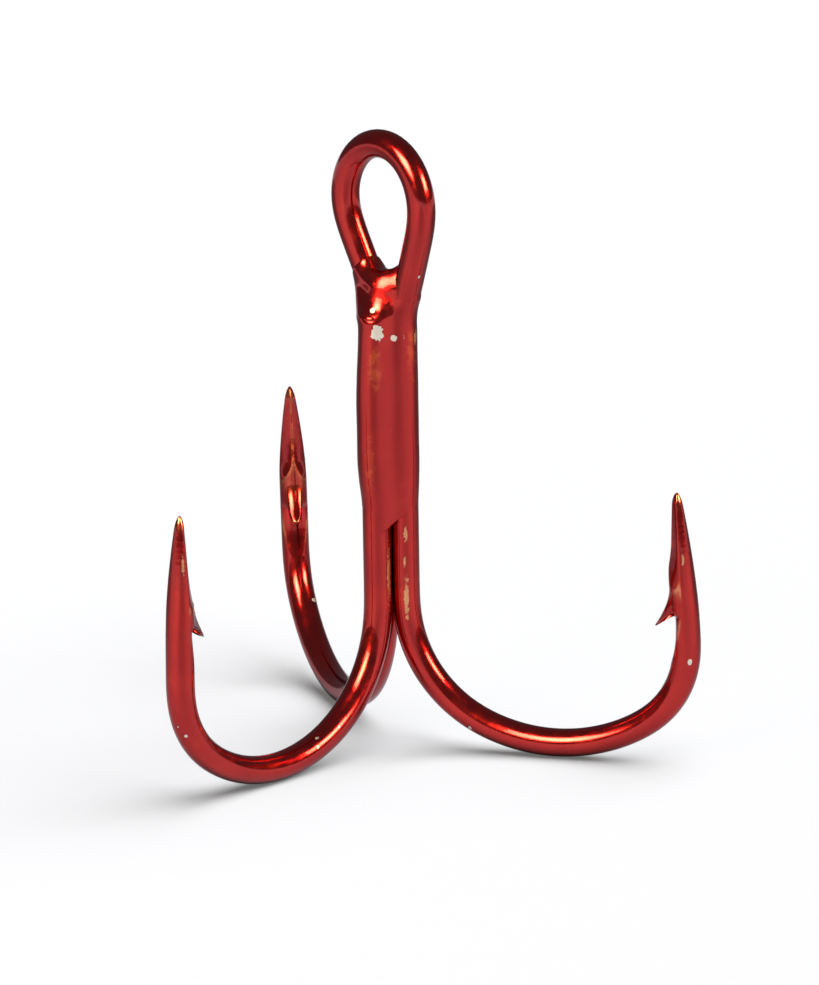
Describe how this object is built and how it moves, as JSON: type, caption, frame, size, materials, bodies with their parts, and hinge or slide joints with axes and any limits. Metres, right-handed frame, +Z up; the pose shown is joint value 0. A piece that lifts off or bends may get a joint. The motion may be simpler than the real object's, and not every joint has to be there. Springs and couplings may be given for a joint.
{
  "type": "treble fishing hook",
  "caption": "Treble fishing hook: barbed round-wire hooks brazed back to back along a common shank, with a pear-shaped line eye on top and a glossy red lacquer.",
  "frame": {"origin": "centre of the eye, on the axis of the shank", "axes": "+Z up the shank; the eye lies in the XZ plane, so a ring passes through it along Y; the single wire's hook points towards -Y"},
  "size_m": [0.0408, 0.0328, 0.0449],
  "materials": {
    "lacquered_steel": "glossy translucent red lacquer over bright steel wire, worn through at the points",
    "lacquered_braze": "the same red lacquer over an uneven brazed surface, with small chips"
  },
  "bodies": {
    "root": {"double_hook_wire": "lacquered_steel", "single_hook_wire": "lacquered_steel", "braze_core": "lacquered_braze", "braze_bead_front": "lacquered_braze", "braze_bead_side": "lacquered_braze", "braze_bead_rear": "lacquered_braze", "braze_cap": "lacquered_braze"}
  },
  "joints": []
}
